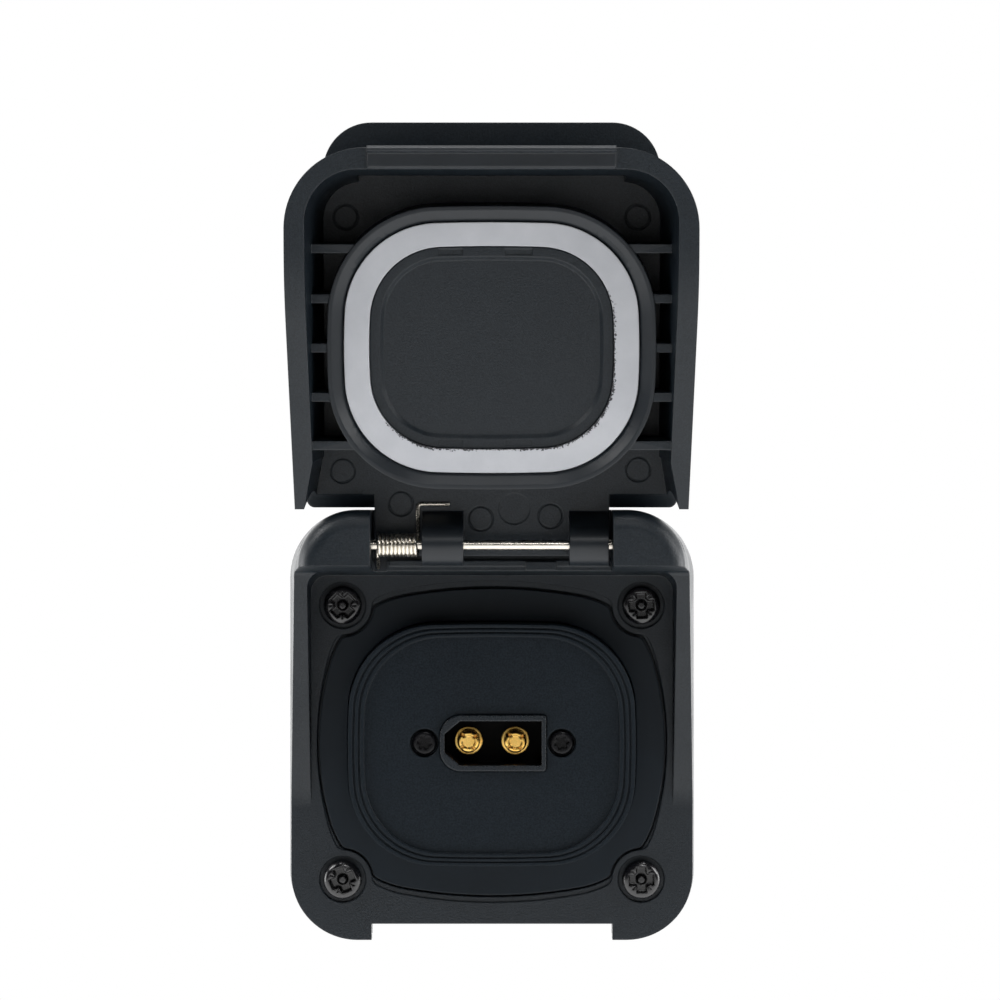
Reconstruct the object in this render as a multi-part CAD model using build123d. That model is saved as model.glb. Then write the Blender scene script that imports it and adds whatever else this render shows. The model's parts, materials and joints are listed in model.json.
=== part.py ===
from build123d import *
import os
from math import cos, radians, sin, tan

# Wall-mounted low-voltage inlet box with a sprung, sealed lid that snaps shut.
#
# Millimetres. +X is right, +Y goes into the wall and +Z is up. The origin is the centre of the
# four wall screws, on the wall's face. The housing is drawn in (x, height, out of the wall),
# the lid in (x, s along the lid from the hinge, n towards its inside). The lid stands open.

# Wall plate and housing
gasket_thick = 1.5
flange_out = 4.9  # front of the flange, which is also the floor of the pocket
face_out = 26.4  # front face of the two shoulders
base_half_w = 31.4
base_low, base_high = -30.6, 36.0
base_corner = 10.5
face_half_w, face_corner, face_round = 28.8, 8.3, 2.8
notch_half_w, notch_depth = 18.65, 2.5
ledge_foot, ledge_angle = -8.6, 13.3  # where the side walls start to rise, and their slope
pocket_half_w, pocket_top, pocket_corner = 28.0, 25.9, 2.5
pocket_draft = 4.5
screw_x, screw_z = 23.1, 21.2
screw_hole_r, screw_seat_r, screw_seat_depth = 2.2, 3.6, 0.6
screw_r, screw_neck_r = 2.0, 1.9
seal_sink = 1.2  # depth of the collar seal's groove

# Hinge
hinge_out, hinge_z = 20.0, 30.7
pin_r, pin_half = 0.75, 27.8
bay_half_w, bay_out, bay_floor = 18.2, 13.4, 28.3
ridge_out, stop_out = 14.5, 13.9
knuckle_r = 3.1
knuckles = ((-10.5, -4.3), (11.7, 17.6))

# Spring
wire_r, coil_r, coil_turns, coil_pitch = 0.29, 1.55, 10, 0.61
coil_x = -17.3

# Socket
collar_top, panel_top, panel_thick = 12.45, 11.5, 2.0
socket_x, socket_z = 0.18, 0.3
shroud_w, shroud_h, shroud_wall, shroud_top = 16.2, 8.5, 0.85, 12.5
socket_floor, pin_tip, pin_pitch = 4.5, 9.0, 7.2
socket_screw_pitch = 21.0
connector_screw_r, connector_seat_r, connector_sink = 1.0, 2.2, 1.5

# Lid
open_angle = 175.0
lid_outer, lid_floor, lid_rim = -6.4, -3.6, 14.4
lid_end, lip_end = 59.7, 63.5
rim_bend, rim_slope = 39.5, 0.26
tongue_half_w, tongue_tail = 17.8, -2.0
swing_clear, skirt_start = 8.2, 5.3  # where the plate and the skirt end beside the hinge
seat_s = 30.1  # centre of the lid's seal, opposite the socket when shut
rib_rows = (15.6, 22.8, 30.1, 37.4, 44.8)
rib_thick, rib_top = 1.3, 7.9
boss_top, gasket_low, gasket_top = 8.0, 4.4, 7.3

# Behind the wall
spigot_r, spigot_wall, spigot_depth = 22.0, 2.0, 22.0
cover_thick = 2.5
post_x = 12.4
gland_r, gland_bore_r = 7.9, 4.0

WALL = Plane.XZ
LEAN = radians(180.0 - open_angle)
LID = Plane(
    origin=(0, -hinge_out, hinge_z), x_dir=(1, 0, 0), z_dir=(0, -cos(LEAN), -sin(LEAN))
)


# ---------------------------------------------------------------- shapes


def block(x0, x1, y0, y1, z0, z1):
    size = Box(x1 - x0, y1 - y0, z1 - z0)
    return Pos((x0 + x1) / 2, (y0 + y1) / 2, (z0 + z1) / 2) * size


def prism(sketch, z0, z1):
    return extrude(Pos(0, 0, z0) * sketch, z1 - z0)


def drafted(low, z0, high, z1):
    return loft([Pos(0, 0, z0) * low, Pos(0, 0, z1) * high], ruled=True)


def bar(profile, x0, x1):
    """A (y, z) profile carried along X."""
    return extrude(Pos(x0, 0, 0) * (Plane.YZ.location * profile), x1 - x0)


def rod(radius, x0, x1, y=0.0, z=0.0):
    along = Cylinder(radius, x1 - x0, align=(Align.CENTER, Align.CENTER, Align.MIN))
    return Pos(x0, y, z) * (Rot(0, 90, 0) * along)


def post(radius, x, y, z0, z1):
    up = Cylinder(radius, z1 - z0, align=(Align.CENTER, Align.CENTER, Align.MIN))
    return Pos(x, y, z0) * up


def both_sides(part):
    return part + mirror(part, Plane.YZ)


def rounded(half_w, low, high, corner):
    return Pos(0, (low + high) / 2) * RectangleRounded(2 * half_w, high - low, corner)


def squircle(half_w, half_h, corner, bulge_w=0.12, bulge_h=0.12):
    """Rounded rectangle whose four sides bulge: eight arcs, each tangent to the next."""
    p, q = half_w - corner, half_h - corner
    centre = Vector(p - bulge_w, q - bulge_h)
    reach = centre.X**2 + centre.Y**2
    left = Vector((p * p - reach) / (2 * bulge_w), 0)
    below = Vector(0, (q * q - reach) / (2 * bulge_h))
    towards_side = (centre - left).normalized()
    towards_top = (centre - below).normalized()
    side = centre + towards_side * corner
    top = centre + towards_top * corner
    middle = centre + (towards_side + towards_top).normalized() * corner
    quarter = [
        ThreePointArc(side, middle, top),
        ThreePointArc(top, (0, half_h), (-top.X, top.Y)),
    ]
    left_half = [
        ThreePointArc((-top.X, top.Y), (-middle.X, middle.Y), (-side.X, side.Y)),
        ThreePointArc((-side.X, side.Y), (-half_w, 0), (-side.X, -side.Y)),
    ]
    turned = [edge.rotate(Axis.Z, 180) for edge in quarter + left_half]
    return make_face(quarter + left_half + turned)


def ring(outer, inner, z0, z1):
    return prism(outer, z0, z1) - prism(inner, z0 - 1, z1 + 1)


def screw_places():
    return [(x, z) for z in (screw_z, -screw_z) for x in (-screw_x, screw_x)]


# ---------------------------------------------------------------- housing


def flange_outline(grow=0.0):
    plate = rounded(
        base_half_w + grow, base_low - grow, base_high + grow, base_corner + grow
    )
    notch = Pos(0, base_low) * Rectangle(2 * notch_half_w, 2 * notch_depth)
    return plate - notch


def collar(inset=0.0):
    """Outline of the collar's top, shrunk: 0 is its outer edge, 1 its inner edge."""
    return squircle(22.0 - 2.4 * inset, 18.5 - 1.85 * inset, 13.2 - 1.35 * inset)


def rear_seat(grow=0.0):
    return squircle(24.7 + grow, 21.2 + grow, 15.2 + grow)


def seal_outline(grow=0.0, tall=0.0):
    half_w, half_h, corner = 26.7 + grow, 23.7 + grow + tall, 14.5 + grow
    pad = Pos(0, 0.1) * squircle(half_w, half_h, corner, 1.2, 1.0)
    for x, z in screw_places():
        pad -= Pos(x, z) * Circle(4.9 - grow)
    corners = [v for v in pad.vertices() if abs(v.X) > 12 and abs(v.Y) > 12]
    return fillet(corners, 1.2 + grow)


def front_profile():
    """Side view, (height, out), of the space in front of the flange, ledges and shoulders."""
    rise, draft = tan(radians(ledge_angle)), tan(radians(pocket_draft))
    high = (pocket_top - ledge_foot) * rise / (1 - rise * draft)
    front = face_out + 4 - flange_out
    points = [
        (-45, flange_out),
        (ledge_foot, flange_out),
        (pocket_top + high * draft, flange_out + high),
        (pocket_top + front * draft, flange_out + front),
        (-45, flange_out + front),
    ]
    space = make_face(Polyline(*points, close=True))
    foot = space.vertices().sort_by_distance(Vector(*points[1]))[0]
    space = fillet(foot, 12.0)
    head = space.vertices().sort_by_distance(Vector(*points[2]))[0]
    return fillet(head, 1.0)


def pocket():
    rise = (face_out - flange_out) * tan(radians(pocket_draft))
    low = rounded(pocket_half_w, -60, pocket_top, pocket_corner)
    high = rounded(pocket_half_w + 0.7, -60, pocket_top + rise, pocket_corner)
    return drafted(low, flange_out, high, face_out)


def hinge_bay():
    deep = block(-bay_half_w, bay_half_w, bay_floor, 40, bay_out, 30)
    front = block(-bay_half_w, bay_half_w, 20, bay_floor + 1, ridge_out, 30)
    leg_slot = block(-17.8, -16.0, 26.0, bay_floor + 1, bay_out - 1.2, ridge_out + 1)
    stop = block(-14, 14, base_high - 1.5, base_high + 1, bay_out - 1, stop_out)
    return deep + front + leg_slot - stop


def lid_relief():
    """Groove behind a shoulder, where the end of the lid's front plate stands when open."""
    groove = block(bay_half_w - 0.5, 40, 32, base_high + 1, bay_out, bay_out + 3)
    return groove - rod(swing_clear - 0.3, bay_half_w - 1, 41, hinge_z, hinge_out)


def housing_shell():
    body = drafted(
        rounded(base_half_w, base_low, base_high, base_corner),
        gasket_thick,
        rounded(face_half_w, base_low, base_high, face_corner),
        face_out,
    )
    body = fillet(body.faces().sort_by(Axis.Z)[-1].edges(), face_round)
    return body - bar(front_profile(), -40, 40) - pocket() - hinge_bay()


def base_housing():
    body = housing_shell()
    body -= block(-notch_half_w, notch_half_w, -40, base_low + notch_depth, 0, 30)
    body -= prism(collar(-0.12), 0, flange_out + 1)
    body -= prism(rear_seat(0.15), 0, gasket_thick + 1.5)
    body -= prism(seal_outline(0.35), flange_out - seal_sink, flange_out + 1)
    body -= prism(seal_outline(0.4, 0.8), flange_out - 0.3, flange_out + 1)
    for x, z in screw_places():
        body -= post(screw_hole_r, x, z, 0, flange_out + 1)
        body -= post(screw_seat_r, x, z, flange_out - screw_seat_depth, flange_out + 1)
    core = block(20.6, 26.2, 28.4, 33.2, 0, face_out - 2.8)
    body -= both_sides(core)
    body -= rod(pin_r + 0.01, -pin_half, pin_half, hinge_z, hinge_out)
    body -= both_sides(rod(1.1, pin_half, 35, hinge_z, hinge_out))
    body -= both_sides(lid_relief())
    body += block(-15.6, 17.9, bay_floor - 0.9, bay_floor, ridge_out - 1, ridge_out + 0.3)
    body += block(5.2, 9.8, bay_floor - 1.5, bay_floor - 0.2, ridge_out - 1, ridge_out + 0.7)
    return body


def wall_gasket():
    foam = prism(flange_outline(-0.6), 0, gasket_thick)
    foam -= prism(rear_seat(0.6), -1, gasket_thick + 1)
    foam -= post(spigot_r + 0.4, 0, 0, -1, gasket_thick + 1)
    for x, z in screw_places():
        foam -= post(screw_hole_r, x, z, -1, gasket_thick + 1)
    return foam


def collar_seal():
    low, high = flange_out - seal_sink, flange_out + 0.4
    return ring(seal_outline(), collar(-0.14), low, high)


def socket_carrier():
    flange = prism(rear_seat(), gasket_thick, gasket_thick + 1.5)
    wall = drafted(collar(-0.08), gasket_thick, collar(0.0), collar_top)
    body = flange + wall
    body -= prism(collar(1.0), panel_top, collar_top + 1)
    body -= prism(collar(0.9), 0, panel_top - panel_thick)
    for inner in (0.27, 0.62):
        groove = prism(collar(inner), collar_top - 0.3, collar_top + 1)
        body -= groove - prism(collar(inner + 0.13), 0, collar_top + 2)
    body += carrier_bosses()
    window = Pos(socket_x, socket_z) * shroud_outline(0.1)
    body -= prism(window, 0, panel_top + 1)
    for side in (-1, 1):
        x = socket_x + side * socket_screw_pitch / 2
        body -= post(connector_screw_r + 0.1, x, socket_z, 0, panel_top + 1)
        body -= post(connector_seat_r, x, socket_z, panel_top - connector_sink, panel_top + 1)
    return body


def carrier_bosses():
    """Four posts that take the long screws from the rear cover."""
    posts = Part()
    for x, z in cover_screw_places():
        posts += post(2.6, x, z, gasket_thick, panel_top - panel_thick + 0.5)
        posts -= post(1.25, x, z, 0, panel_top - panel_thick - 0.5)
    return posts


def cover_screw_places():
    return [(x, z) for z in (-post_x, post_x) for x in (-post_x, post_x)]


# ---------------------------------------------------------------- connector


def shroud_outline(grow=0.0):
    """A D: rounded at the left end, nearly square at the right."""
    half_w, half_h = shroud_w / 2 + grow, shroud_h / 2 + grow
    frame = Rectangle(2 * half_w, 2 * half_h)
    left = [v for v in frame.vertices() if v.X < 0]
    frame = fillet(left, 3.2 + grow)
    right = [v for v in frame.vertices() if v.X > half_w - 0.01]
    return fillet(right, 0.5)


def cavity_outline():
    half_w, half_h = shroud_w / 2 - shroud_wall + 0.2, shroud_h / 2 - shroud_wall
    points = [
        (half_w, -half_h),
        (half_w, half_h),
        (-half_w + 2.4, half_h),
        (-half_w, half_h - 2.0),
        (-half_w, -half_h + 2.0),
        (-half_w + 2.4, -half_h),
    ]
    return make_face(Polyline(*points, close=True))


def connector_housing():
    here = Pos(socket_x, socket_z)
    back = panel_top - panel_thick
    body = prism(here * shroud_outline(), -3.0, shroud_top)
    body += prism(here * RectangleRounded(27.5, 8.3, 3.6), back - 2.2, back)
    body -= prism(here * cavity_outline(), socket_floor, shroud_top + 1)
    for side in (-1, 1):
        x = socket_x + side * socket_screw_pitch / 2
        body -= post(connector_screw_r + 0.1, x, socket_z, 0, back + 1)
        body -= post(1.8, side * pin_pitch / 2, socket_z, -4, socket_floor + 1)
    return body


def contact_pin(x):
    """Split bullet contact with a locating ring and a solder cup behind."""
    shell = post(1.72, x, socket_z, socket_floor, pin_tip)
    shell = fillet(shell.faces().sort_by(Axis.Z)[-1].edges(), 0.4)
    shell -= post(1.0, x, socket_z, pin_tip - 0.6, pin_tip + 1)
    for turn in (39, 129):
        slit = Rot(0, 0, turn) * Box(5, 0.4, 3.6)
        shell -= Pos(x, socket_z, pin_tip) * slit
    pin = shell + post(0.96, x, socket_z, socket_floor, pin_tip - 0.6)
    pin += post(2.15, x, socket_z, socket_floor, socket_floor + 0.7)
    pin += post(1.79, x, socket_z, -3.0, socket_floor)
    pin += post(2.3, x, socket_z, -9.0, -3.0)
    return pin - post(1.7, x, socket_z, -10.0, -4.5)


def lobe_star(size):
    """Six-lobe drive outline."""
    star = Circle(0.74 * size)
    for turn in range(0, 360, 60):
        star += Rot(0, 0, turn) * (Pos(0.72 * size, 0) * Circle(0.28 * size))
    return star


def pan_head(radius, height):
    """Domed screw head standing on z = 0."""
    head = post(radius, 0, 0, 0, height)
    return fillet(head.faces().sort_by(Axis.Z)[-1].edges(), 0.42 * height)


def connector_screws():
    seat, screws = panel_top - connector_sink, []
    for side in (-1, 1):
        screw = pan_head(1.9, 1.15) - prism(lobe_star(1.15), 0.35, 2)
        screw += post(connector_screw_r, 0, 0, -6.6, 0)
        x = socket_x + side * socket_screw_pitch / 2
        screws.append(Pos(x, socket_z, seat) * (Rot(0, 0, 10 * side) * screw))
    return screws


def connector_nuts():
    top, nuts = panel_top - panel_thick - 2.2, []
    for side in (-1, 1):
        nut = hexagon(4.0, top - 1.6, top) - post(connector_screw_r, 0, 0, 0, top + 1)
        nuts.append(Pos(socket_x + side * socket_screw_pitch / 2, socket_z) * nut)
    return nuts


# ---------------------------------------------------------------- screws


def cross_recess(across, arm, depth):
    """Four broad arms round a stub, with four fine ticks between the arms."""
    cross = Circle(1.4) + Rectangle(across, arm) + Rectangle(arm, across)
    recess = extrude(cross, -depth, taper=6)
    recess -= Pos(0, 0, -depth + 0.5) * Cone(0.85, 0.5, 1.0)
    ticks = Rectangle(across * 1.04, 0.2) + Rectangle(0.2, across * 1.04)
    return recess + Rot(0, 0, 45) * (extrude(ticks, -0.3) - post(1.2, 0, 0, -1, 1))


def wall_screw(turn):
    head_high, head_r = 2.3, 2.95
    screw = pan_head(head_r, head_high)
    screw -= Pos(0, 0, head_high) * (Rot(0, 0, turn) * cross_recess(4.0, 1.75, 1.8))
    wall_face = screw_seat_depth - flange_out
    screw += post(screw_neck_r, 0, 0, wall_face, 0)
    screw += post(screw_r, 0, 0, -17.0, wall_face)
    return screw + Pos(0, 0, -18.6) * Cone(0.3, screw_r, 3.2)


def wall_screws():
    seat = flange_out - screw_seat_depth
    turns = (45, 3, 22, 1)
    return [Pos(x, z, seat) * wall_screw(t) for (x, z), t in zip(screw_places(), turns)]


# ---------------------------------------------------------------- behind the wall


def rear_housing():
    """Cup through the wall's cut-out, clamped between the wall and the carrier."""
    inner_r = spigot_r - spigot_wall
    cup = prism(rear_seat(), 0, gasket_thick) + post(spigot_r, 0, 0, -spigot_depth, 0)
    cup -= post(inner_r - 2.4, 0, 0, -1, gasket_thick + 1)
    cup -= post(inner_r, 0, 0, -spigot_depth - 1, -0.8)
    for x, z in cover_screw_places():
        cup += post(2.8, x, z, -spigot_depth, gasket_thick)
        cup -= post(1.6, x, z, -spigot_depth - 1, gasket_thick + 1)
    return cup


def rear_cover():
    low = -spigot_depth - cover_thick
    cover = post(spigot_r, 0, 0, low, -spigot_depth)
    cover -= post(21.2, 0, 0, -spigot_depth - 0.9, 0) - post(20.0, 0, 0, -40, 1)
    cover -= post(gland_r + 0.1, 0, 0, low - 1, 0)
    for x, z in cover_screw_places():
        cover -= post(1.6, x, z, low - 1, 0)
    return cover


def rear_cover_seal():
    """Flat ring in the cover's groove, against the cup's end."""
    low = -spigot_depth - 0.9
    return post(21.1, 0, 0, low, -spigot_depth) - post(20.1, 0, 0, low - 1, 1)


def rear_cover_screws():
    low, screws = -spigot_depth - cover_thick, []
    for x, z in cover_screw_places():
        head = Rot(180, 0, 0) * (pan_head(2.7, 1.8) - prism(lobe_star(1.3), 0.7, 3))
        shank = post(1.24, 0, 0, 0, 8.0 - low)
        screws.append(Pos(x, z, low) * (head + shank))
    return screws


def hexagon(across, z0, z1):
    return prism(RegularPolygon(across / 2, 6, major_radius=False), z0, z1)


def gland_body():
    outside = -spigot_depth - cover_thick
    body = post(gland_r, 0, 0, outside, outside + 8.0)
    body += hexagon(19.0, outside - 4.5, outside)
    body += post(gland_r, 0, 0, outside - 10.5, outside - 4.5)
    body -= post(gland_bore_r, 0, 0, outside - 12, outside + 9)
    return body - post(6.0, 0, 0, outside - 12, outside - 6.5)


def gland_locknut():
    inside = -spigot_depth
    nut = hexagon(20.0, inside, inside + 3.0)
    return nut - post(gland_r + 0.01, 0, 0, inside - 1, inside + 4)


def gland_seal():
    outside = -spigot_depth - cover_thick
    seal = post(5.95, 0, 0, outside - 12.0, outside - 6.5)
    return seal - post(gland_bore_r - 0.5, 0, 0, outside - 13, outside)


def gland_nut():
    outside = -spigot_depth - cover_thick
    nut = hexagon(19.0, outside - 14.0, outside - 5.0)
    nut -= post(gland_r + 0.01, 0, 0, outside - 10.6, outside)
    nut -= post(6.0, 0, 0, outside - 12.0, outside)
    return nut - post(gland_bore_r, 0, 0, outside - 15, outside)


# ---------------------------------------------------------------- lid


def lid_outline(half_w, end, corner):
    return rounded(half_w, -15, end, corner)


def swing_space():
    """What the lid must leave free beside its tongue, to swing past the shoulders."""
    space = rod(swing_clear, tongue_half_w, 40) + block(tongue_half_w, 40, -20, 0, -20, 20)
    space += block(tongue_half_w, 40, -20, skirt_start, 3.9, 20)
    return both_sides(space)


def rim_profile():
    """Side view, (s, n), of the space above the lid's sloping rim."""
    low = lid_rim - (rim_bend + 20) * rim_slope
    points = [(rim_bend, lid_rim), (80, lid_rim), (80, 40), (-20, 40), (-20, low)]
    space = make_face(Polyline(*points, close=True))
    return fillet(space.vertices().sort_by_distance(Vector(*points[0], 0))[0], 40.0)


def lid_flare():
    """The skirt thins to a tip beside the hinge."""
    low = Polygon((10, 13), (25.6, 13), (27.4, 3), (10, 3), align=None)
    high = Polygon((10, 13), (27.3, 13), (29.8, 3), (10, 3), align=None)
    return drafted(low, lid_floor, high, lid_rim)


def lid_hollow():
    low = lid_outline(25.4, 54.6, 5.6)
    high = lid_outline(27.4, 56.5, 7.7)
    hollow = drafted(low, lid_floor, high, lid_rim)
    hollow += both_sides(lid_flare())
    return hollow + block(-20, 20, 45, 55.6, lid_floor, 12.5)


def lid_ribs(hollow):
    ribs = Part()
    for s in rib_rows:
        ribs += block(-30, 30, s - rib_thick / 2, s + rib_thick / 2, lid_floor - 0.1, rib_top)
    seat = Pos(0, seat_s) * squircle(24.0, 20.6, 16.0)
    return (ribs - prism(seat, lid_floor - 1, 20)) & (hollow + lid_floor_skin())


def lid_floor_skin():
    return block(-25, 25, 9, 50, lid_floor - 0.2, lid_floor)


def lid_boss():
    """Ring wall round the seal, with a ledge inside it that carries the seal."""
    here = Pos(0, seat_s)
    foot, head = squircle(24.75, 21.35, 16.7), squircle(24.4, 21.0, 16.4)
    ring_wall = drafted(here * foot, lid_floor - 0.2, here * head, boss_top)
    low, high = squircle(22.05, 18.75, 14.15), squircle(23.8, 20.4, 15.8)
    ring_wall -= drafted(here * low, gasket_top - 0.4, here * high, boss_top + 0.01)
    ring_wall -= prism(here * low, gasket_low, 20)
    return ring_wall - prism(here * squircle(20.0, 16.7, 12.1), lid_floor - 1, 20)


def latch_bar():
    """Snap lip across the lid's free end, which enters the notch in the housing."""
    points = [
        (56.5, 11.0),
        (56.5, 14.5),
        (56.9, 14.95),
        (58.9, 14.95),
        (58.95, 17.6),
        (59.15, 18.3),
        (59.6, 18.3),
        (59.95, 17.8),
        (59.95, 11.0),
    ]
    return bar(make_face(Polyline(*points, close=True)), -18.1, 18.1)


def knuckle(x0, x1):
    web = [(0, 0), (2.87, 1.16), (4.8, lid_floor), (-1.9, lid_floor), (-1.6, -2.65)]
    body = rod(knuckle_r, x0, x1) + bar(make_face(Polyline(*web, close=True)), x0, x1)
    body += block(x0, x1, -1.9, 4.8, lid_floor - 0.3, lid_floor)
    return body


def ejector_marks():
    """Faint round witness marks on the lid's floor."""
    corners = [(-22.6, 11.0), (22.2, 11.2), (-22.0, 49.3), (22.0, 49.3)]
    tongue = [(-13.8, 6.0), (-1.7, 3.7), (8.9, 4.1)]
    marks = post(2.4, 3.4, 5.2, lid_floor - 0.1, lid_floor + 0.5)
    for x, s in corners + tongue:
        marks += post(1.95, x, s, lid_floor - 0.15, lid_floor + 0.5)
        marks -= post(1.7, x, s, lid_floor - 1, lid_floor + 1)
    return marks


def lid_shell():
    outer = drafted(
        lid_outline(28.0, 58.5, 10.8), lid_outer, lid_outline(30.4, lid_end, 11.8), lid_rim
    )
    outer += prism(rounded(25.4, 30, lip_end, 7.3), lid_outer, lid_floor)
    outer -= block(-40, 40, -20, tongue_tail, -20, 30)
    front = outer.faces().sort_by(Axis.Z)[0]
    outer = fillet(front.edges(), 1.1)
    outer -= swing_space() + bar(rim_profile(), -40, 40)
    hollow = lid_hollow()
    shell = outer - hollow + lid_ribs(hollow) + lid_boss() + latch_bar()
    shell -= ejector_marks()
    for x0, x1 in knuckles:
        shell += knuckle(x0, x1)
    return shell - rod(pin_r + 0.05, -30, 30)


def lid_gasket():
    here = Pos(0, seat_s)
    outer = here * squircle(21.9, 18.6, 14.0)
    return ring(outer, here * squircle(18.2, 15.1, 10.9), gasket_low, gasket_top)


def gasket_retainer():
    """Cap inside the seal, holding its inner edge down on the ledge."""
    here = Pos(0, seat_s)
    top = gasket_top - 0.7
    cap = prism(here * squircle(19.9, 16.6, 12.0), lid_floor, gasket_low)
    cap += prism(here * squircle(18.1, 15.0, 10.8), gasket_low, top)
    cap -= prism(here * squircle(16.0, 12.9, 8.6), lid_floor - 1, top - 2.2)
    foot, mouth = squircle(16.1, 13.0, 8.7), squircle(16.65, 13.55, 9.25)
    cap -= drafted(here * foot, top - 0.6, here * mouth, top + 0.01)
    for x0, x1 in ((-7.9, -4.3), (2.0, 6.0)):
        for s in (seat_s - 14.2, seat_s + 14.2):
            cap -= block(x0, x1, s - 0.45, s + 0.45, top - 0.15, top + 1)
    return cap


# ---------------------------------------------------------------- hinge pin and spring


def hinge_pin():
    pin = rod(pin_r, -pin_half + 0.1, pin_half - 0.1)
    return chamfer(pin.edges().filter_by(GeomType.CIRCLE), 0.2)


def wire(path):
    """Round wire swept along a path."""
    start = Plane(origin=path @ 0, z_dir=path % 0)
    return sweep(start.location * Circle(wire_r), path=path)


def torsion_spring():
    """Coil round the pin, one leg in the housing's slot and one on the lid's floor."""
    length = coil_turns * coil_pitch
    coil = Helix(coil_pitch, length, coil_r, center=(coil_x, 0, 0), direction=(1, 0, 0))
    coil = coil.rotate(Axis.X, 180)
    far_x, lie = coil_x + length, lid_floor + wire_r + 0.02
    upper = FilletPolyline(
        (far_x, 0, -coil_r), (far_x, 5.9, lie), (far_x + 4.8, 5.9, lie), radius=0.6
    )
    lower = FilletPolyline(
        (coil_x, 0, -coil_r), (coil_x, -1.8, -2.1), (coil_x, -4.0, -5.8), radius=1.2
    )
    return wire(coil) + wire(upper) + wire(lower)


# ---------------------------------------------------------------- the parts


ON_WALL = [
    base_housing,
    wall_gasket,
    collar_seal,
    socket_carrier,
    connector_housing,
    connector_screws,
    connector_nuts,
    wall_screws,
    rear_housing,
    rear_cover,
    rear_cover_seal,
    rear_cover_screws,
    gland_body,
    gland_locknut,
    gland_seal,
    gland_nut,
]
ON_HINGE = [lid_shell, lid_gasket, gasket_retainer, hinge_pin, torsion_spring]


def write(name, shape, plane):
    solids = shape if isinstance(shape, list) else [shape]
    placed = [plane.location * solid for solid in solids]
    export_step(placed[0] if len(placed) == 1 else Compound(placed), f"parts/{name}.step")


def main():
    os.makedirs("parts", exist_ok=True)
    for make in ON_WALL:
        write(make.__name__, make(), WALL)
    write("contact_pin_positive", contact_pin(-pin_pitch / 2), WALL)
    write("contact_pin_negative", contact_pin(pin_pitch / 2), WALL)
    for make in ON_HINGE:
        write(make.__name__, make(), LID)


if __name__ == "__main__":
    main()
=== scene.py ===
import json
from math import cos, pi, radians, sin

import bpy
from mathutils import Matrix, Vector


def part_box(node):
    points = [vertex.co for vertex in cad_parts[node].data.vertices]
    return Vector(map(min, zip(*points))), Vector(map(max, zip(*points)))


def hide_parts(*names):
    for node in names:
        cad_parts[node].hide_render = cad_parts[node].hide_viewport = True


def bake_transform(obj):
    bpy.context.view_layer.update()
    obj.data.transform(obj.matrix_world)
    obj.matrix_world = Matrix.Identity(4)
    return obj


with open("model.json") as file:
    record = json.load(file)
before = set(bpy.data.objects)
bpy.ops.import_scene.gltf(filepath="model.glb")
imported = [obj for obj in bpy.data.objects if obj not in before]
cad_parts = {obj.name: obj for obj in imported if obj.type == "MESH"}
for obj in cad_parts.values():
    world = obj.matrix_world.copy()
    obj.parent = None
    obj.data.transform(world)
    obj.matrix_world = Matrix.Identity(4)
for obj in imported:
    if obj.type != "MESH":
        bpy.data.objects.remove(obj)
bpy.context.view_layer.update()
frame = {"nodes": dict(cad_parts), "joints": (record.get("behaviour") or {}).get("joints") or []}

# The hinge and the lid's own axes at rest: s runs along the lid from the hinge, n towards its inside.
HINGE = Vector(frame["joints"][0]["pos_m"])
LEAN = radians(180 - frame["joints"][0]["range_deg"][1])
LID_S = Vector((0, -sin(LEAN), cos(LEAN)))
LID_N = Vector((0, -cos(LEAN), -sin(LEAN)))
MM = 0.001
EDGE_MM = 0.3  # how far moulded and turned edges are rounded off

# Places on the part, in millimetres. Those on the lid are along x, s and n.
BAR_START, BAR_FOOT, BAR_HALF_W = 56.4, 14.0, 18.3  # latch bar
KNUCKLES, KNUCKLE_TOP, LID_FLOOR = ((-10.6, -4.2), (11.6, 17.7)), 5, -3.2
RING_MIDDLE, RING_FOOT = 30.1, 6.8  # ring wall round the lid's seal
RING_OUTSIDE, RING_INSIDE = (24.6, 21.2), (22, 18.6)  # its half sizes
SEAL_CORNER, SEAL_RADIUS = (7.3, 0, 4.2), 10.9  # inner edge of the seal, from its middle
TORN_DEPTH, SPECK_SIZE = 0.6, 0.3  # how far that edge is torn, and its specks
TORN_SIDE = Vector((0.5, 0, -0.87))  # the side on which it is torn
CONNECTOR_RIM = -12.5  # where the connector ends at the front
HOLLOW_MIDDLE, HOLLOW_HALF = (0.2, 0.3), (7.6, 3.75)  # the connector's hollow, in x and z


def on_lid(x, s, n):
    """A point given in millimetres in the lid's axes, as a point in the frame."""
    return Vector((x * MM, 0, 0)) + HINGE + (s * LID_S + n * LID_N) * MM


def set_range(node, *limits):
    """Sets a Map Range node: what it takes, from and to, and what it gives, from and to."""
    for key, value in zip(("From Min", "From Max", "To Min", "To Max"), limits):
        node.inputs[key].default_value = value


# ---------------------------------------------------------------- materials


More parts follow.
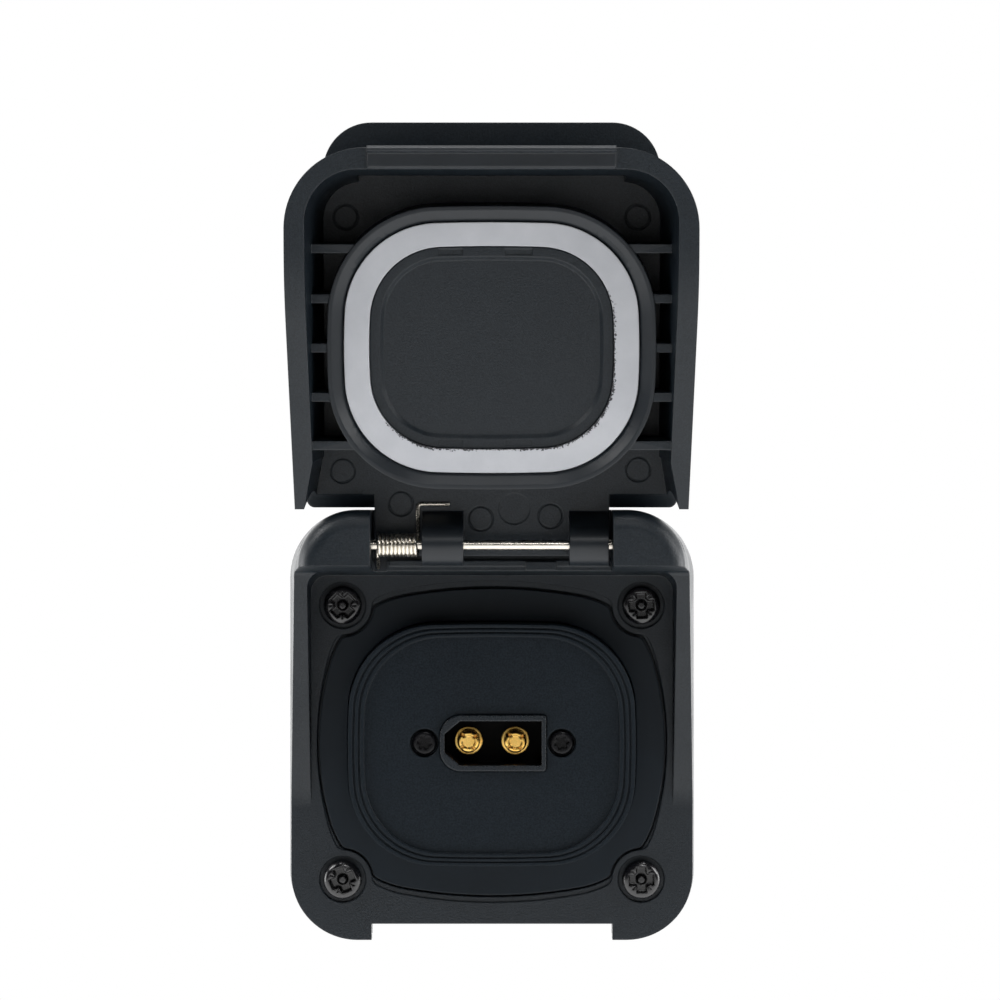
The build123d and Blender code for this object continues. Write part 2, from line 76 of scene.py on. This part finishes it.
class Nodes:
    """A new material's node tree, with short ways to add and join nodes."""

    def __init__(self, name):
        self.material = bpy.data.materials.new(name)
        self.material.use_nodes = True
        self.tree = self.material.node_tree
        self.shader = self.tree.nodes["Principled BSDF"]
        self.place = self.add("ShaderNodeTexCoord").outputs["Object"]

    def add(self, kind, **values):
        node = self.tree.nodes.new(kind)
        for key, value in values.items():
            setattr(node, key, value)
        return node

    def join(self, source, target):
        self.tree.links.new(source, target)

    def noise(self, size_mm, detail=3.0, roughness=0.55, distortion=0.0):
        """Noise whose features are about size_mm across."""
        node = self.add("ShaderNodeTexNoise")
        node.inputs["Scale"].default_value = 1 / (size_mm * MM)
        node.inputs["Detail"].default_value = detail
        node.inputs["Roughness"].default_value = roughness
        node.inputs["Distortion"].default_value = distortion
        self.join(self.place, node.inputs["Vector"])
        return node.outputs["Fac"]

    def ramp(self, source, low, high, start=0.35, end=0.65):
        """A number from low to high as source goes from start to end."""
        node = self.add("ShaderNodeMapRange")
        set_range(node, start, end, low, high)
        self.join(source, node.inputs["Value"])
        return node.outputs["Result"]

    def colours(self, source, dark, light):
        """A colour between dark and light, as source changes."""
        node = self.add("ShaderNodeValToRGB")
        node.color_ramp.elements[0].position = 0.3
        node.color_ramp.elements[1].position = 0.7
        node.color_ramp.elements[0].color = (*dark, 1)
        node.color_ramp.elements[1].color = (*light, 1)
        self.join(source, node.inputs["Fac"])
        return node.outputs["Color"]

    def bump(self, heights):
        """Rounded edges, then bumps from (source, depth in mm, strength), each on the one before."""
        edge = self.add("ShaderNodeBevel", samples=6)
        edge.inputs["Radius"].default_value = EDGE_MM * MM
        before = edge.outputs["Normal"]
        for source, depth_mm, strength in heights:
            node = self.add("ShaderNodeBump")
            node.inputs["Strength"].default_value = strength
            node.inputs["Distance"].default_value = depth_mm * MM
            self.join(source, node.inputs["Height"])
            self.join(before, node.inputs["Normal"])
            before = node.outputs["Normal"]
        self.join(before, self.shader.inputs["Normal"])

    def set(self, **values):
        for key, value in values.items():
            self.shader.inputs[key.replace("_", " ")].default_value = value


def textured_plastic(name, gloss):
    """Black moulding with a fine spark-eroded grain and faint handling marks."""
    m = Nodes(name)
    grain, mottle, wear = m.noise(0.26, 2, 0.6), m.noise(2.5), m.noise(14, 4, 0.6, 1.2)
    tint = m.colours(grain, (0.0012, 0.0036, 0.0062), (0.0070, 0.0112, 0.0156))
    m.join(tint, m.shader.inputs["Base Color"])
    m.join(m.ramp(wear, 0.36, 0.46), m.shader.inputs["Roughness"])
    m.bump([(mottle, 0.02, 0.25), (grain, 0.06, 0.6)])
    m.set(IOR=1.46, Specular_IOR_Level=gloss)
    return m.material


def smooth_plastic(name, roughness, tint=(0.004, 0.0066, 0.0095)):
    """Black moulding from a polished part of the mould, with slight flow unevenness."""
    m = Nodes(name)
    flow, speck = m.noise(5, 2), m.noise(0.3, 3)
    m.join(m.colours(flow, tint, [1.25 * v for v in tint]), m.shader.inputs["Base Color"])
    m.join(m.ramp(speck, roughness - 0.03, roughness + 0.06), m.shader.inputs["Roughness"])
    m.bump([(flow, 0.03, 0.2), (speck, 0.006, 0.2)])
    m.set(IOR=1.46, Specular_IOR_Level=0.38)
    return m.material


def painted_shade_plastic(name):
    """Painted shade for the inside of the connector: darker than its plastic and barely shiny, standing in
    for the shade in its hollow.
    """
    m = Nodes(name)
    speck = m.noise(0.3, 3)
    m.join(m.colours(speck, (0.001, 0.001, 0.0012), (0.002, 0.002, 0.0022)), m.shader.inputs["Base Color"])
    m.join(m.ramp(speck, 0.5, 0.6), m.shader.inputs["Roughness"])
    m.bump([(speck, 0.006, 0.2)])
    m.set(IOR=1.46, Specular_IOR_Level=0.08)
    return m.material


def satin_rubber(name, tint, roughness):
    """Elastomer with a dull skin and a little dust."""
    m = Nodes(name)
    cloud, skin = m.noise(6, 3), m.noise(0.35, 4)
    m.join(m.colours(cloud, tint, [1.18 * v for v in tint]), m.shader.inputs["Base Color"])
    m.join(m.ramp(skin, roughness - 0.05, roughness + 0.08), m.shader.inputs["Roughness"])
    m.bump([(cloud, 0.03, 0.15), (skin, 0.012, 0.3)])
    m.set(IOR=1.48, Specular_IOR_Level=0.2)
    return m.material


def foam(name, dark, light, cell_mm):
    """Closed-cell foam: small open pits on a matt skin."""
    m = Nodes(name)
    cells = m.add("ShaderNodeTexVoronoi")
    cells.inputs["Scale"].default_value = 1 / (cell_mm * MM)
    m.join(m.place, cells.inputs["Vector"])
    pits, cloud = cells.outputs["Distance"], m.noise(4, 3)
    m.join(m.colours(cloud, dark, light), m.shader.inputs["Base Color"])
    m.join(m.ramp(pits, 0.85, 0.7, 0.1, 0.6), m.shader.inputs["Roughness"])
    m.bump([(cloud, 0.05, 0.2), (pits, 0.03, 0.35)])
    m.set(IOR=1.42)
    return m.material


def reach_in_ring(m, middle):
    """How far a point is from the nearest corner centre of the seal's inner edge, in millimetres."""
    reach = m.place
    for operation, vector in (
        ("SUBTRACT", middle),
        ("MULTIPLY", (1 / MM, 0, 1 / MM)),
        ("ABSOLUTE", None),
        ("SUBTRACT", SEAL_CORNER),
        ("MAXIMUM", (0, 0, 0)),
        ("LENGTH", None),
    ):
        node = m.add("ShaderNodeVectorMath", operation=operation)
        m.join(reach, node.inputs[0])
        if vector is not None:
            node.inputs[1].default_value = vector
        reach = node.outputs["Value" if operation == "LENGTH" else "Vector"]
    return reach


def torn_specks(m, middle):
    """1 in the dark specks of the seal's torn inner edge, and 0 elsewhere."""
    side = m.add("ShaderNodeVectorMath", operation="DOT_PRODUCT")
    m.join(m.place, side.inputs[0])
    side.inputs[1].default_value = TORN_SIDE / MM
    past = TORN_SIDE.dot(middle) / MM
    on_side = m.ramp(side.outputs["Value"], 0.35, 1.0, past - 3, past + 6)
    at_edge = m.ramp(reach_in_ring(m, middle), 0.56, 0.2, SEAL_RADIUS, SEAL_RADIUS + TORN_DEPTH)
    limit = m.add("ShaderNodeMath", operation="MULTIPLY")
    m.join(at_edge, limit.inputs[0])
    m.join(on_side, limit.inputs[1])
    specks = m.add("ShaderNodeMath", operation="LESS_THAN")
    m.join(m.noise(SPECK_SIZE, 2, 0.5), specks.inputs[0])
    m.join(limit.outputs[0], specks.inputs[1])
    return specks.outputs[0]


def lid_foam(name, dark, light):
    """Pale foam ring, torn to dark specks along its inner edge at the right and below."""
    m = Nodes(name)
    low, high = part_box("lid_gasket")
    middle = (Vector(low) + Vector(high)) / 2
    tint = m.add("ShaderNodeMix", data_type="RGBA")
    m.join(torn_specks(m, middle), tint.inputs["Factor"])
    m.join(m.colours(m.noise(4, 3), dark, light), tint.inputs[6])
    tint.inputs[7].default_value = (0.03, 0.03, 0.035, 1)
    m.join(tint.outputs[2], m.shader.inputs["Base Color"])
    skin = m.noise(0.25, 3)
    m.join(m.ramp(skin, 0.7, 0.85), m.shader.inputs["Roughness"])
    m.bump([(skin, 0.02, 0.3)])
    m.set(IOR=1.42)
    return m.material


def metal(name, dark, light, roughness, along_x=False):
    """Drawn or plated metal, with fine marks along its length or all over."""
    m = Nodes(name)
    marks = m.add("ShaderNodeMapping")
    marks.inputs["Scale"].default_value = (0.06, 1, 1) if along_x else (1, 1, 1)
    m.join(m.place, marks.inputs["Vector"])
    m.place = marks.outputs["Vector"]
    fine, cloud = m.noise(0.12, 3), m.noise(2.0, 3)
    m.join(m.colours(cloud, dark, light), m.shader.inputs["Base Color"])
    m.join(m.ramp(fine, roughness - 0.05, roughness + 0.1), m.shader.inputs["Roughness"])
    m.bump([(fine, 0.006, 0.25)])
    m.set(Metallic=1.0)
    return m.material


def blackened_steel(name, gloss):
    """Black zinc on steel, slightly worn and glossy."""
    m = Nodes(name)
    cloud, fine = m.noise(0.9, 3), m.noise(0.2, 2)
    m.join(m.colours(cloud, (0.002, 0.002, 0.003), (0.006, 0.006, 0.007)), m.shader.inputs["Base Color"])
    m.join(m.ramp(fine, 0.16, 0.24), m.shader.inputs["Roughness"])
    m.bump([(cloud, 0.01, 0.15), (fine, 0.002, 0.15)])
    m.set(IOR=1.5, Specular_IOR_Level=gloss)
    return m.material


def paint(material, *nodes):
    """Gives whole nodes one material."""
    for node in nodes:
        mesh = frame["nodes"][node].data
        mesh.materials.clear()
        mesh.materials.append(material)


def second_material(node, material, chosen):
    """Gives the faces whose centre passes a test a second material."""
    mesh = frame["nodes"][node].data
    mesh.materials.append(material)
    for face in mesh.polygons:
        if chosen(face.center):
            face.material_index = 1


def polished_on_lid(point):
    """Whether a point of the lid is on its latch bar, a knuckle or the ring that holds the seal."""
    away = point - HINGE
    x, s, n = point.x / MM, away.dot(LID_S) / MM, away.dot(LID_N) / MM
    bar = s > BAR_START and n > BAR_FOOT and abs(x) < BAR_HALF_W
    hub = s < KNUCKLE_TOP and n > LID_FLOOR and any(start < x < end for start, end in KNUCKLES)
    across, along = abs(x), abs(s - RING_MIDDLE)
    within = across < RING_OUTSIDE[0] and along < RING_OUTSIDE[1]
    beyond = (across / RING_INSIDE[0]) ** 4 + (along / RING_INSIDE[1]) ** 4 > 0.9
    return bar or hub or (n > RING_FOOT and within and beyond)


def inside_connector(point):
    """Whether a point of the connector is below its rim and within its hollow."""
    x, y, z = (value / MM for value in point)
    across, up = abs(x - HOLLOW_MIDDLE[0]), abs(z - HOLLOW_MIDDLE[1])
    return y > CONNECTOR_RIM + 0.2 and across < HOLLOW_HALF[0] and up < HOLLOW_HALF[1]


def paint_frame():
    paint(textured_plastic("housing_plastic", 0.38), "base_housing")
    # The carrier's copy of the moulding gets less shine than the housing's so that it looks darker:
    # painted shade.
    paint(textured_plastic("carrier_plastic_painted_shade", 0.16), "socket_carrier")
    paint(textured_plastic("lid_plastic", 0.36), "lid_shell")
    # The retainer's copy of the moulding gets more shine than the lid's so that it looks lighter: painted
    # light.
    paint(textured_plastic("retainer_plastic_painted_light", 0.42), "gasket_retainer")
    # The lid's bar, knuckles and seal ring get a smoother finish, which is real, and a lighter tint, which
    # is a painted sheen.
    satin_and_sheen = smooth_plastic("satin_plastic_and_sheen", 0.34, (0.0085, 0.011, 0.014))
    second_material("lid_shell", satin_and_sheen, polished_on_lid)
    paint(smooth_plastic("cup_plastic", 0.36), "rear_housing", "rear_cover")
    paint(smooth_plastic("connector_plastic", 0.27), "connector_housing")
    # The faces inside the connector's hollow get a darker copy of its plastic: painted shade.
    second_material("connector_housing", painted_shade_plastic("connector_hollow_painted_shade"), inside_connector)
    gland = smooth_plastic("gland_plastic", 0.32, (0.012, 0.013, 0.015))
    paint(gland, "gland_body", "gland_locknut", "gland_nut")
    rubber = satin_rubber("seal_rubber", (0.0022, 0.0052, 0.0085), 0.42)
    paint(rubber, "collar_seal", "gland_seal", "rear_cover_seal")
    paint(foam("wall_foam", (0.013, 0.013, 0.014), (0.02, 0.02, 0.021), 0.45), "wall_gasket")
    paint(lid_foam("lid_seal_foam", (0.37, 0.38, 0.405), (0.41, 0.42, 0.445)), "lid_gasket")
    paint(blackened_steel("black_zinc", 0.65), "wall_screws")
    # The connector screws get a copy of the black zinc with little shine, which makes them darker: painted
    # shade for their deep counterbores.
    paint(blackened_steel("black_zinc_painted_shade", 0.18), "connector_screws")
    paint(metal("drawn_steel", (0.55, 0.51, 0.45), (0.70, 0.66, 0.59), 0.2, True), "hinge_pin")
    zinc = metal("zinc_steel", (0.5, 0.5, 0.49), (0.62, 0.62, 0.6), 0.3)
    paint(zinc, "connector_nuts", "rear_cover_screws")
    gold = metal("gold_plate", (0.86, 0.50, 0.11), (0.98, 0.66, 0.20), 0.16)
    paint(gold, "contact_pin_positive", "contact_pin_negative")


# ---------------------------------------------------------------- spring

# In the lid's millimetres.
WIRE_R, COIL_R, COIL_TURNS = 0.29, 1.55, 10
COIL_START, COIL_PITCH = -17.3, 0.61
COIL_END = COIL_START + COIL_TURNS * COIL_PITCH
LOWER_LEG = (-4.0, -5.8), (-1.8, -2.1)  # its end and its bend, as (s, n)
UPPER_LEG = 5.9, -3.29  # where it bends on the lid's floor, as (s, n)
UPPER_LEG_END = 4.8  # how far it goes on from there
STEPS_PER_TURN = 28


def rounded_path(points, radius, steps=8):
    """Points with the inner corners rounded off."""
    path = [points[0]]
    for before, corner, after in zip(points, points[1:], points[2:]):
        enter = corner + (before - corner).normalized() * radius
        leave = corner + (after - corner).normalized() * radius
        for i in range(steps + 1):
            t = i / steps
            path.append(enter.lerp(corner, t).lerp(corner.lerp(leave, t), t))
    return path + [points[-1]]


def spring_path():
    """The wire's centre line: lower leg, coil and upper leg, in the lid's millimetres."""
    lower = [Vector((COIL_START, *place)) for place in (*LOWER_LEG, (0, -COIL_R))]
    upper = [
        Vector((COIL_END, 0, -COIL_R)),
        Vector((COIL_END, *UPPER_LEG)),
        Vector((COIL_END + UPPER_LEG_END, *UPPER_LEG)),
    ]
    steps = STEPS_PER_TURN * COIL_TURNS
    coil = []
    for i in range(1, steps):
        turn = 2 * pi * COIL_TURNS * i / steps
        x = COIL_START + COIL_PITCH * turn / (2 * pi)
        coil.append(Vector((x, COIL_R * sin(turn), -COIL_R * cos(turn))))
    return rounded_path(lower, 0.5) + coil + rounded_path(upper, 0.6)


def tube(name, path, radius, sides=12):
    """A round mesh wire along a path, closed at both ends."""
    verts, faces = [], []
    across = None
    for i, point in enumerate(path):
        along = (path[min(i + 1, len(path) - 1)] - path[max(i - 1, 0)]).normalized()
        across = along.orthogonal() if across is None else across - along * across.dot(along)
        across.normalize()
        side = along.cross(across)
        for k in range(sides):
            turn = 2 * pi * k / sides
            verts.append(point + (across * cos(turn) + side * sin(turn)) * radius)
        if i:
            low = (i - 1) * sides
            for k in range(sides):
                near, far = low + k, low + (k + 1) % sides
                faces.append((near, far, far + sides, near + sides))
    faces.append(tuple(reversed(range(sides))))
    faces.append(tuple(range(len(verts) - sides, len(verts))))
    mesh = bpy.data.meshes.new(name)
    mesh.from_pydata(verts, [], faces)
    mesh.shade_smooth()
    wire = bpy.data.objects.new(name, mesh)
    bpy.context.scene.collection.objects.link(wire)
    return wire


def spring():
    """The torsion spring between the housing and the lid, as a round wire built in the lid's rest pose."""
    path = [on_lid(*point) for point in spring_path()]
    wire = tube("torsion_spring_wire", path, WIRE_R * MM)
    wire.data.materials.append(metal("spring_steel", (0.56, 0.52, 0.45), (0.72, 0.67, 0.58), 0.22))
    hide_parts("torsion_spring")
    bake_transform(wire)


# ---------------------------------------------------------------- set

LAMPS = (  # name, place, size and watts
    ("key", (-0.75, -0.38, 0.75), 0.5, 6),
    ("fill", (0.85, -0.32, 0.45), 0.5, 5),
    ("front", (0.15, -1.1, 0.75), 0.25, 2),
    ("left", (-0.8, 0.1, 0.05), 0.5, 4),
    ("right", (0.8, 0.1, 0.05), 0.5, 4),
    ("top", (0.0, -0.2, 0.95), 0.5, 7),
)
AIM = Vector((0, 0, 0.03))
FLOOR_RADIUS, FLOOR_PLACE = 3, (0, -2.2, -0.16)
CAMERA_PLACE, CAMERA_LENS = (0.00124, -0.6, 0.0375), 138.4


def studio():
    """Pale floor and soft light from above and both sides."""
    bpy.ops.mesh.primitive_circle_add(
        vertices=96, radius=FLOOR_RADIUS, fill_type="NGON", location=FLOOR_PLACE
    )
    floor = bpy.context.object
    floor.name = "floor"
    m = Nodes("floor_paper")
    tint = m.colours(m.noise(300, 3), (0.86, 0.86, 0.86), (0.89, 0.89, 0.89))
    m.join(tint, m.shader.inputs["Base Color"])
    m.set(Roughness=0.9, Emission_Color=(1, 1, 1, 1), Emission_Strength=0.4)
    floor.data.materials.append(m.material)
    for lamp in LAMPS:
        light(*lamp)
    surround()


def light(name, place, size, watts):
    """A round soft lamp, aimed at the part."""
    lamp = bpy.data.lights.new(name, "AREA")
    lamp.shape, lamp.size, lamp.energy = "DISK", size, watts
    holder = bpy.data.objects.new(name, lamp)
    bpy.context.scene.collection.objects.link(holder)
    holder.location = place
    holder.rotation_euler = (AIM - Vector(place)).to_track_quat("-Z", "Y").to_euler()


def surround():
    """White surroundings that light the part from behind only, and that the camera sees as white."""
    world = bpy.data.worlds.new("studio")
    bpy.context.scene.world = world
    world.use_nodes = True
    tree = world.node_tree
    lit = tree.nodes["Background"]
    seen = tree.nodes.new("ShaderNodeBackground")
    seen.inputs["Color"].default_value = (1, 1, 1, 1)
    where = tree.nodes.new("ShaderNodeTexCoord")
    parts = tree.nodes.new("ShaderNodeSeparateXYZ")
    fade = tree.nodes.new("ShaderNodeMapRange")
    set_range(fade, 0.0, 0.95, 0.0, 2.2)
    path = tree.nodes.new("ShaderNodeLightPath")
    mix = tree.nodes.new("ShaderNodeMixShader")
    join = tree.links.new
    join(where.outputs["Generated"], parts.inputs[0])
    join(parts.outputs["Y"], fade.inputs["Value"])
    join(fade.outputs["Result"], lit.inputs["Strength"])
    lit.inputs["Color"].default_value = (1, 1, 1, 1)
    join(path.outputs["Is Camera Ray"], mix.inputs["Fac"])
    join(lit.outputs[0], mix.inputs[1])
    join(seen.outputs[0], mix.inputs[2])
    join(mix.outputs[0], tree.nodes["World Output"].inputs["Surface"])


def camera():
    """Level, straight on, a little above the middle of the housing."""
    data = bpy.data.cameras.new("camera")
    data.sensor_width, data.lens = 36, CAMERA_LENS
    data.clip_start = 0.01
    view = bpy.data.objects.new("camera", data)
    bpy.context.scene.collection.objects.link(view)
    view.location = CAMERA_PLACE
    view.rotation_euler = (pi / 2, 0, 0)
    bpy.context.scene.camera = view
    bpy.context.scene.view_settings.view_transform = "Standard"


def main():
    paint_frame()
    spring()
    studio()
    camera()


main()
